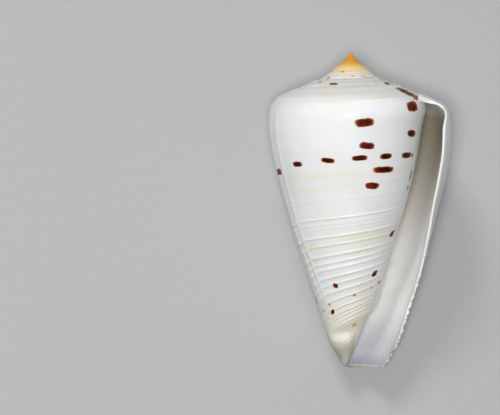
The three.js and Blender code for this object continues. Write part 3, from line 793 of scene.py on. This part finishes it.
def grow_shell():
    skin = Skin()
    widening = math.log(SUTURE_RADIUS_AT_LIP / EMBRYONIC_RADIUS)
    turns = widening / math.log(SUTURE_GROWTH_PER_TURN)
    first_angle = COIL_END - round(turns * 360 / STEP) * STEP
    angles = np.arange(round((SEAM_ANGLE - first_angle) / STEP) + 1) * STEP + first_angle
    spire, suture = spire_columns(skin, angles)
    skin.sheet(spire, False)
    apex_cap(skin, suture, spire)

    rows = outer_rows()
    turn = last_turn(skin, suture, list(spire[-1]))
    seam = turn[0]
    skin.zip(list(dict.fromkeys(seam)), list(dict.fromkeys(turn[1])), True)
    skin.sheet(turn[1:], False)

    first, roof = int(np.argmax(rows >= TOP_ROWS[3])), int(np.argmax(rows >= SHOULDER_ROW))
    roof_index = len(spire[-1]) + roof - first - 1
    seam_points = list(dict.fromkeys(seam))
    core, inner = hollow(skin, seam_points[roof_index])
    skin.zip(seam_points[roof_index:], list(dict.fromkeys(core[1].tolist())), False)
    skin.sheet([c.tolist() for c in core[1:]], True)
    skin.sheet([c.tolist() for c in inner], False)

    lip = turn[-1]
    chains = lip_edge(skin, lip, rows)
    skin.sheet([lip, chains[0], chains[1]], False)
    inner_lip = seam_points[len(spire[-1]) - 1 : roof_index + 1] + inner[0].tolist()[1:]
    skin.zip(list(dict.fromkeys(chains[1])), inner_lip, True)

    base_skirt(skin, turn, core, inner, chains)
    return skin


def base_skirt(skin, turn, core, inner, chains):
    """The broken edge of the free sheet at the base, and the tip of the columella."""
    blind = mix(BLIND_END_UPPER, BLIND_END_LOWER, 1)
    first_free = int((blind - SEAM_ANGLE) // STEP)
    free_outer = [c[-1] for c in turn[first_free:]] + [chain[-1] for chain in chains]
    free_inner = [int(c[-1]) for c in reversed(inner)]
    skin.zip(free_outer, free_inner, False)
    loop = [int(c[-1]) for c in reversed(core[1:])] + [c[-1] for c in turn[: first_free + 1]]
    tip = int(skin.add(0, 0, COLUMELLA_TIP_DEPTH + COLUMELLA_ROUNDING, BELOW_BASE_ROW, False))
    for k, point in enumerate(loop):
        skin.face(loop[(k + 1) % len(loop)], point, tip)


def placement(frame_box, points):
    """Turns the grown shell into its resting pose and sets it on the CAD solid's place, in metres."""
    turn = Matrix.Rotation(math.radians(PITCH), 3, "X") @ Matrix.Rotation(math.radians(ROLL), 3, "Y")
    turned = points @ np.array(turn).T
    lo, hi = turned.min(0), turned.max(0)
    box_lo, box_hi = (np.array(v) for v in frame_box)
    move = (box_lo + box_hi) / 2 - (lo + hi) / 2 * MM
    move[2] = box_lo[2] - lo[2] * MM
    return turn, move, turned * MM + move


def shell_object(frame_box):
    skin = grow_shell()
    table = skin.table()
    turn, move, points = placement(frame_box, table[:, :3])
    used = np.zeros(len(points), bool)
    for ring in skin.faces:
        used[ring] = True
    new_index = np.cumsum(used) - 1
    faces = [[int(new_index[c]) for c in ring] for ring in skin.faces]
    points, table = points[used], table[used]

    mesh = bpy.data.meshes.new("cone_shell")
    mesh.from_pydata(points.tolist(), [], faces)
    bm = bmesh.new()
    bm.from_mesh(mesh)
    bmesh.ops.recalc_face_normals(bm, faces=bm.faces)
    bm.to_mesh(mesh)
    bm.free()

    x, _, z, angle, _, depth, row, inside, fraction, deep = table.T
    arc = np.stack([angle * ARC_MM_PER_DEGREE, depth, deep * DEEP_PER_DEGREE], axis=1)
    plan = np.stack([x, z, depth], axis=1)
    layer = np.stack([row, inside, fraction], axis=1)
    for name, values in (("arc", arc), ("plan", plan), ("layer", layer)):
        attribute = mesh.attributes.new(name, "FLOAT_VECTOR", "POINT")
        attribute.data.foreach_set("vector", np.ascontiguousarray(values, dtype=np.float32).ravel())
    mesh.shade_smooth()
    mesh.set_sharp_from_angle(angle=math.radians(SHARP_EDGE))
    shell = bpy.data.objects.new("cone_shell", mesh)
    bpy.context.scene.collection.objects.link(shell)
    return shell, turn, move


class Nodes:
    """Short names for building a material's node tree."""

    def __init__(self, name):
        self.material = bpy.data.materials.new(name)
        self.material.use_nodes = True
        self.tree = self.material.node_tree
        self.tree.nodes.clear()

    def put(self, socket, value):
        if isinstance(value, bpy.types.NodeSocket):
            self.tree.links.new(value, socket)
        elif value is not None:
            socket.default_value = value

    def node(self, kind, **settings):
        made = self.tree.nodes.new(kind)
        for key, value in settings.items():
            setattr(made, key, value)
        return made

    def math(self, operation, a, b=None, clamp=False):
        made = self.node("ShaderNodeMath", operation=operation, use_clamp=clamp)
        self.put(made.inputs[0], a)
        self.put(made.inputs[1], b)
        return made.outputs[0]

    def times(self, a, b):
        return self.math("MULTIPLY", a, b)

    def distance(self, a, b):
        return self.math("ABSOLUTE", self.math("SUBTRACT", a, b))

    def shifted(self, value, vector, noise, amount):
        offset = self.math("SUBTRACT", self.noise(vector, *noise), 0.5)
        return self.math("ADD", value, self.times(offset, amount))

    def split(self, vector):
        made = self.node("ShaderNodeSeparateXYZ")
        self.put(made.inputs[0], vector)
        return made.outputs

    def step(self, value, lo, hi, out_lo=0.0, out_hi=1.0):
        made = self.node("ShaderNodeMapRange", interpolation_type="SMOOTHSTEP")
        for socket, v in zip(made.inputs, (value, lo, hi, out_lo, out_hi)):
            self.put(socket, v)
        return made.outputs[0]

    def vector(self, operation, a, b=None):
        made = self.node("ShaderNodeVectorMath", operation=operation)
        self.put(made.inputs[0], a)
        self.put(made.inputs[1], b)
        return made.outputs["Value" if operation == "DOT_PRODUCT" else "Vector"]

    def noise(self, vector, scale, detail=3.0, rough=0.5, stretch=None):
        if stretch:
            vector = self.vector("MULTIPLY", vector, stretch)
        made = self.node("ShaderNodeTexNoise")
        self.put(made.inputs["Vector"], vector)
        self.put(made.inputs["Scale"], scale)
        self.put(made.inputs["Detail"], detail)
        self.put(made.inputs["Roughness"], rough)
        return made.outputs["Fac"]

    def attribute(self, name):
        return self.node("ShaderNodeAttribute", attribute_name=name).outputs["Vector"]

    def blend(self, factor, a, b):
        """Colour a where the factor is 0 and b where it is 1. Sockets 6, 7 and 2 are the colour ones."""
        made = self.node("ShaderNodeMix", data_type="RGBA")
        self.put(made.inputs["Factor"], factor)
        self.put(made.inputs[6], a)
        self.put(made.inputs[7], b)
        return made.outputs[2]

    def finish(self, values):
        shader = self.node("ShaderNodeBsdfPrincipled")
        for name, value in values.items():
            self.put(shader.inputs[name], value)
        out = self.node("ShaderNodeOutputMaterial")
        self.put(out.inputs["Surface"], shader.outputs[0])
        return self.material


def nearest_mark(n, vector, marks, start=NO_MARK):
    """Cubed scaled distance to the nearest of a list of rounded oblongs.

    Each mark is (location, rotation about z, scale).
    """
    found = start
    for location, rotation, scale in marks:
        mapping = n.node("ShaderNodeMapping", vector_type="TEXTURE")
        for socket, value in zip(mapping.inputs, (vector, location, (0, 0, rotation), scale)):
            n.put(socket, value)
        squared = n.vector("MULTIPLY", mapping.outputs[0], mapping.outputs[0])
        cubes = n.vector("DOT_PRODUCT", squared, n.vector("ABSOLUTE", mapping.outputs[0]))
        found = n.math("MINIMUM", cubes, found)
    return found


def body_marks(dark):
    marks = []
    for angle, depth, half_width, half_height, tilt, tone in BODY_SPOTS:
        if (tone >= DARK_TONE) != dark:
            continue
        radius = float(coil_radius(angle, depth / row_scale(angle)))
        stretch = ARC_MM_PER_DEGREE / (math.radians(1) * radius)
        cos, sin = math.cos(tilt), math.sin(tilt)
        across = [stretch * cos * half_width, -stretch * sin * half_height]
        down = [sin * half_width, cos * half_height]
        axes, sizes, _ = np.linalg.svd(np.array([across, down]))
        place = (angle * ARC_MM_PER_DEGREE, depth, 0)
        marks.append((place, math.atan2(axes[1, 0], axes[0, 0]), (float(sizes[0]), float(sizes[1]), 1)))
    return marks


def spire_marks(dark):
    marks = []
    for direction, radius, half_width, half_height, tone in SPIRE_MARKS:
        if (tone >= DARK_TONE) != dark:
            continue
        a = math.radians(direction)
        place = (radius * math.cos(a), radius * math.sin(a), float(spire_depth(radius)))
        marks.append((place, a + math.pi / 2, (half_width, half_height, SPIRE_MARK_REACH)))
    return marks


def nearest_spot(n, arc, plan, dark):
    """Scaled distance to the nearest dark or pale spot, 1 at its edge, with a slightly ragged edge."""
    nearest = nearest_mark(n, plan, spire_marks(dark), nearest_mark(n, arc, body_marks(dark)))
    return n.shifted(n.math("POWER", nearest, 1 / 3), plan, SPOT_NOISE, SPOT_SHIFT)


def body_colour(n, arc, plan, row, depth, outside):
    """Clean white with faint clouds and yellow bands, cream at the base, grey at the tip that is partly
    painted shade.
    """
    ground = n.blend(n.step(n.noise(plan, *CLOUD_NOISE), *CLOUD_RAMP), WHITE, WARM_WHITE)
    streak = n.step(n.noise(arc, *STREAK_NOISE, stretch=STREAK_STRETCH), *STREAK_RAMP)
    for centre, half, strength in YELLOW_BANDS:
        band = n.times(n.step(n.distance(row, centre), half, 0.0), streak)
        ground = n.blend(n.times(n.times(band, outside), strength), ground, BAND_YELLOW)
    ground = n.blend(n.times(n.step(row, *CREAM_ROW_RAMP), outside), ground, BASE_CREAM)
    # Painted shade: the tip of the base goes grey, darker than its own tint, where it turns away from the
    # light.
    return n.blend(n.times(n.step(depth, *BASE_SHADE_DEPTH_RAMP), outside), ground, BASE_GREY_AND_SHADE)


def spire_colour(n, ground, plan, along, depth, fraction):
    """A thin dark line in the suture, grey lines between the cords, broken yellow bands, orange tip.

    All but the suture's line are faint on the last turn.
    """
    broken = n.step(n.noise(plan, *BROKEN_NOISE), *BROKEN_RAMP)
    above = n.step(along, *SEAM_RAMP)
    for centre, half, tint, strength in SPIRE_LINES:
        line = n.times(n.step(n.distance(fraction, centre), half, half * LINE_CORE), strength)
        if tint is SPIRE_YELLOW:
            line = n.times(line, broken)
        if tint is not SUTURE_GREY:
            line = n.times(line, above)
        ground = n.blend(line, ground, tint)
    ragged = n.shifted(depth, plan, TIP_NOISE, TIP_SHIFT)
    speckle = n.step(n.noise(plan, *SPECKLE_NOISE), *SPECKLE_RAMP)
    ground = n.blend(n.step(ragged, *TIP_CREAM_RAMP), ground, TIP_CREAM)
    patchy = n.math("MAXIMUM", speckle, n.step(depth, *TIP_FULL_RAMP))
    orange = n.blend(n.step(depth, *TIP_ORANGE_RAMP), TIP_PALE, TIP_ORANGE)
    return n.blend(n.times(n.step(ragged, *TIP_EDGE_RAMP), patchy), ground, orange)


def spot_colour(n, ground, arc, plan):
    """Dark brown spots with orange-brown rims, small orange ones, and the line beside the opening."""
    dark, pale = nearest_spot(n, arc, plan, True), nearest_spot(n, arc, plan, False)
    ground = n.blend(n.step(pale, *PALE_RAMP), ground, PALE_ORANGE)
    ground = n.blend(n.step(dark, *RIM_RAMP), ground, RIM_BROWN)
    ground = n.blend(n.step(dark, *RED_RAMP), ground, RED_BROWN)
    patch = n.step(n.noise(plan, *CORE_NOISE), *CORE_PATCH_RAMP)
    ground = n.blend(n.times(n.step(dark, *CORE_RAMP), patch), ground, SPOT_BROWN)
    return n.blend(n.step(nearest_mark(n, arc, [EDGE_LINE]), *EDGE_LINE_RAMP), ground, EDGE_BROWN)


def inner_colour(n, plan, along, depth, deep):
    """Clean white, painted olive-grey shade deep in the upper hollow, painted grey shade at the lip's top,
    blue-grey at the base with a cream edge.
    """
    ground = n.blend(n.step(n.noise(plan, *INNER_NOISE), *INNER_RAMP), INNER_WHITE, INNER_CREAM)
    # Painted shade: olive-grey deep within the opening, below the roof of the hollow.
    upper = n.times(n.step(depth, *OLIVE_SHADE_LOWER_RAMP), n.step(depth, *OLIVE_SHADE_UPPER_RAMP))
    ground = n.blend(n.times(n.step(deep, *DEEP_SHADE_RAMP), upper), ground, INNER_OLIVE_SHADE)
    ground = n.blend(n.step(depth, *INNER_GREY_RAMP), ground, INNER_GREY)
    # Painted shade: the top of the lip's edge and inner face is greyed against the light from above.
    ground = n.blend(n.step(depth, *LIP_TOP_SHADE_RAMP), ground, LIP_TOP_SHADE_GREY)
    behind = n.step(along, *BEHIND_RAMP)
    ground = n.blend(n.times(n.step(depth, *RIM_SHADE_RAMP), behind), ground, RIM_SHADE)
    return n.blend(n.times(n.step(depth, *RIM_CREAM_RAMP), behind), ground, RIM_CREAM)


def shell_material():
    n = Nodes("shell_porcelain")
    arc, plan, layer = n.attribute("arc"), n.attribute("plan"), n.attribute("layer")
    row, inside, fraction = n.split(layer)
    depth = n.split(plan)[2]
    along, _, deep = n.split(arc)
    outside = n.math("SUBTRACT", 1.0, inside, clamp=True)
    ground = body_colour(n, arc, plan, row, depth, outside)
    ground = spire_colour(n, ground, plan, along, depth, fraction)
    ground = spot_colour(n, ground, arc, plan)
    ground = n.blend(inside, ground, inner_colour(n, plan, along, depth, deep))

    growth = n.times(n.noise(arc, *GROWTH_NOISE, stretch=GROWTH_STRETCH), GROWTH_SHARE)
    threads = n.times(n.noise(layer, *THREAD_NOISE, stretch=THREAD_STRETCH), THREAD_SHARE)
    bump = n.node("ShaderNodeBump")
    n.put(bump.inputs["Strength"], BUMP_STRENGTH)
    n.put(bump.inputs["Distance"], BUMP_DISTANCE)
    n.put(bump.inputs["Height"], n.math("ADD", growth, threads))
    return n.finish(
        {
            "Base Color": ground,
            "Roughness": n.step(inside, *ROUGHNESS_RAMP),
            "Specular IOR Level": SPECULAR,
            "Subsurface Weight": SUBSURFACE,
            "Subsurface Radius": SUBSURFACE_RADIUS,
            "Subsurface Scale": 1.0,
            "Normal": bump.outputs[0],
        }
    )


def floor_material():
    n = Nodes("floor_paper")
    grain = n.noise(n.node("ShaderNodeTexCoord").outputs["Object"], FLOOR_NOISE)
    return n.finish({"Base Color": n.blend(grain, FLOOR_DARKER, FLOOR_PALER), "Roughness": FLOOR_ROUGHNESS})


def add_floor():
    mesh = bpy.data.meshes.new("floor")
    corners = [(-1, -1), (1, -1), (1, 1), (-1, 1)]
    mesh.from_pydata([(x * FLOOR_HALF, y * FLOOR_HALF, 0) for x, y in corners], [], [(0, 1, 2, 3)])
    floor = bpy.data.objects.new("floor", mesh)
    mesh.materials.append(floor_material())
    bpy.context.scene.collection.objects.link(floor)
    return floor


def add_light(name, place, aim, size, power, tint):
    data = bpy.data.lights.new(name, "AREA")
    data.size = size
    data.energy = power
    data.color = tint
    light = bpy.data.objects.new(name, data)
    light.location = place
    light.rotation_mode = "QUATERNION"
    light.rotation_quaternion = (aim - place).to_track_quat("-Z", "Y")
    bpy.context.scene.collection.objects.link(light)


def add_camera(turn, move):
    """The shell's axis is upright in the picture, and the camera looks down on the opening side.

    It looks a few degrees from the spire's side, and is turned aside, since the photo has the shell
    off centre.
    """
    tilt = math.radians(VIEW_TILT)
    up = turn @ Vector((0, math.cos(tilt), -math.sin(tilt)))
    back = turn @ Vector((0, math.sin(tilt), math.cos(tilt)))
    right = up.cross(back)
    mm_per_px = SHELL_LENGTH / (PHOTO_BASE_Y_PX - PHOTO_APEX_Y_PX)
    middle = turn @ Vector((0, -SHELL_LENGTH / 2, 0)) * MM + Vector(move)
    aside = (PHOTO_AXIS_X_PX - PHOTO_WIDTH_PX / 2) * mm_per_px * MM
    below = ((PHOTO_APEX_Y_PX + PHOTO_BASE_Y_PX) / 2 - PHOTO_HEIGHT_PX / 2) * mm_per_px * MM
    aim = middle - right * aside + up * below
    distance = PHOTO_WIDTH_PX * mm_per_px * MM * LENS_MM / SENSOR_MM
    data = bpy.data.cameras.new("camera")
    data.lens = LENS_MM
    data.sensor_width = SENSOR_MM
    camera = bpy.data.objects.new("camera", data)
    place = middle + back * distance
    backward = (place - aim).normalized()
    side = up.cross(backward).normalized()
    axes = Matrix((side, backward.cross(side), backward)).transposed().to_4x4()
    camera.matrix_world = Matrix.Translation(place) @ axes
    bpy.context.scene.collection.objects.link(camera)
    bpy.context.scene.camera = camera
    return right, up, back, middle


def add_lights(right, up, back, middle):
    for name, (to_right, upward, backward, size, power, tint) in LIGHTS.items():
        place = middle + right * to_right + up * upward + back * backward
        add_light(name, place, middle, size, power, tint)
    world = bpy.data.worlds.new("studio")
    bpy.context.scene.world = world
    world.use_nodes = True
    sky = world.node_tree.nodes["Background"]
    sky.inputs["Color"].default_value = SKY_COLOUR
    sky.inputs["Strength"].default_value = SKY_STRENGTH
    bpy.context.scene.view_settings.view_transform = "Standard"


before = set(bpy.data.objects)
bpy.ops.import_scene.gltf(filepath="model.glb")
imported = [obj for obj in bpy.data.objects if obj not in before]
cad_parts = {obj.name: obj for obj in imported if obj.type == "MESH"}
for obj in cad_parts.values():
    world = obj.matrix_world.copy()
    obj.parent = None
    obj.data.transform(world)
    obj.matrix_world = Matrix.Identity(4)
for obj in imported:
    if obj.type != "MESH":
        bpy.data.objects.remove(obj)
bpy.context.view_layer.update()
shell, turn, move = shell_object(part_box("shell"))
shell.data.materials.append(shell_material())
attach(shell, "root")
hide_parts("shell")
floor = add_floor()
add_lights(*add_camera(turn, move))
bpy.context.view_layer.update()
